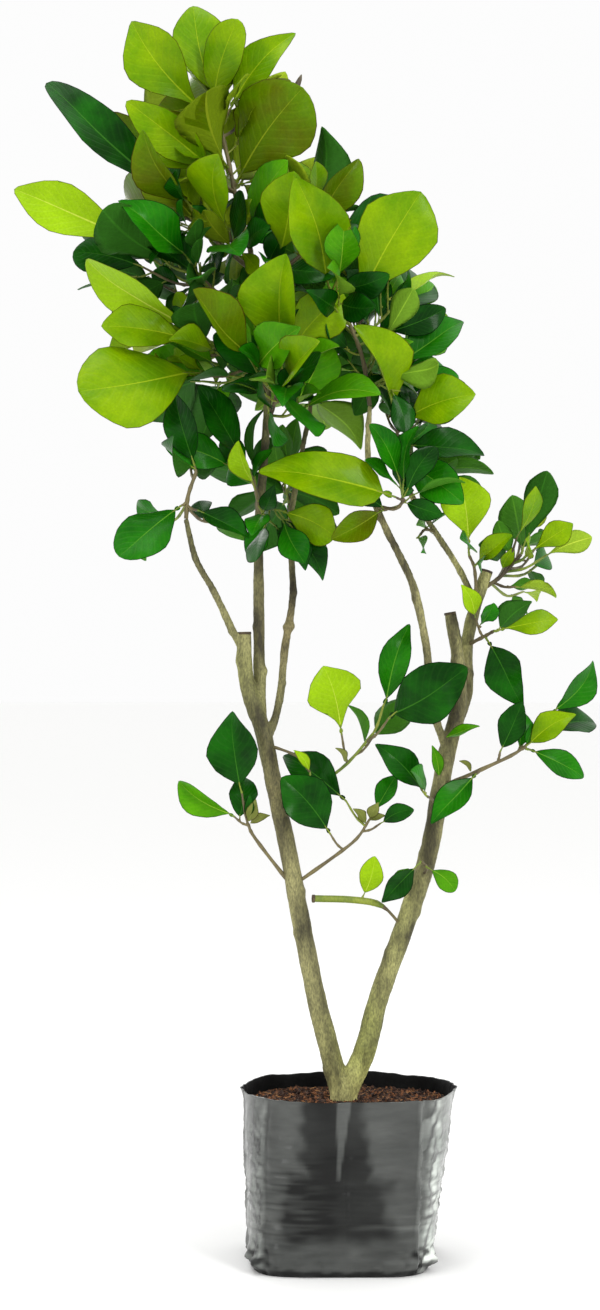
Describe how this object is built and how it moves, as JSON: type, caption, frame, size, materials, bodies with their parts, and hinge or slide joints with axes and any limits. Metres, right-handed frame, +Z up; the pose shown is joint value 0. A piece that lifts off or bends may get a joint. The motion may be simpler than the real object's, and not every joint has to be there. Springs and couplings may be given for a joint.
{
  "type": "potted pomelo tree",
  "caption": "Young pomelo tree, forked at the soil and cut back hard, with glossy oval leaves, in a square black film grow bag.",
  "frame": {"origin": "middle of the grow bag's flat underside", "axes": "+Z up along the plant, +X to the right as the picture shows it, +Y to the back"},
  "size_m": [0.5824, 0.3358, 1.2543],
  "materials": {
    "bag_film": "thin glossy black polythene film, folded at the sides and creased low down",
    "soil": "matte, coarse reddish-brown coconut fibre and soil",
    "bark": "matte olive-brown young bark, finely fissured lengthwise",
    "foliage": "smooth leathery leaves, lime green when young and glossy dark green when mature"
  },
  "bodies": {
    "root": {"grow_bag": "bag_film", "soil": "soil", "trunk": "bark", "left_stem": "bark", "right_stem": "bark", "left_leader": "bark", "left_outer_branch": "bark", "left_inner_branch": "bark", "right_outer_branch": "bark", "right_inner_branch": "bark", "right_arching_branch": "bark", "crown_top": "foliage", "upper_left_foliage": "foliage", "left_tip_foliage": "foliage", "upper_right_foliage": "foliage", "middle_left_foliage": "foliage", "middle_front_foliage": "foliage", "middle_right_foliage": "foliage", "back_foliage": "foliage", "lower_left_foliage": "foliage", "lower_middle_foliage": "foliage", "lower_back_foliage": "foliage", "lower_right_foliage": "foliage", "arching_foliage": "foliage", "arch_side_foliage": "foliage", "right_upper_cluster": "foliage", "right_middle_cluster": "foliage", "right_lower_cluster": "foliage", "right_low_twig": "foliage", "right_front_twig": "foliage", "right_foot_twig": "foliage", "arched_low_twig": "foliage", "left_low_twig": "foliage", "inner_low_twig": "foliage", "inner_green_twig": "foliage", "small_left_twig": "foliage"}
  },
  "joints": []
}
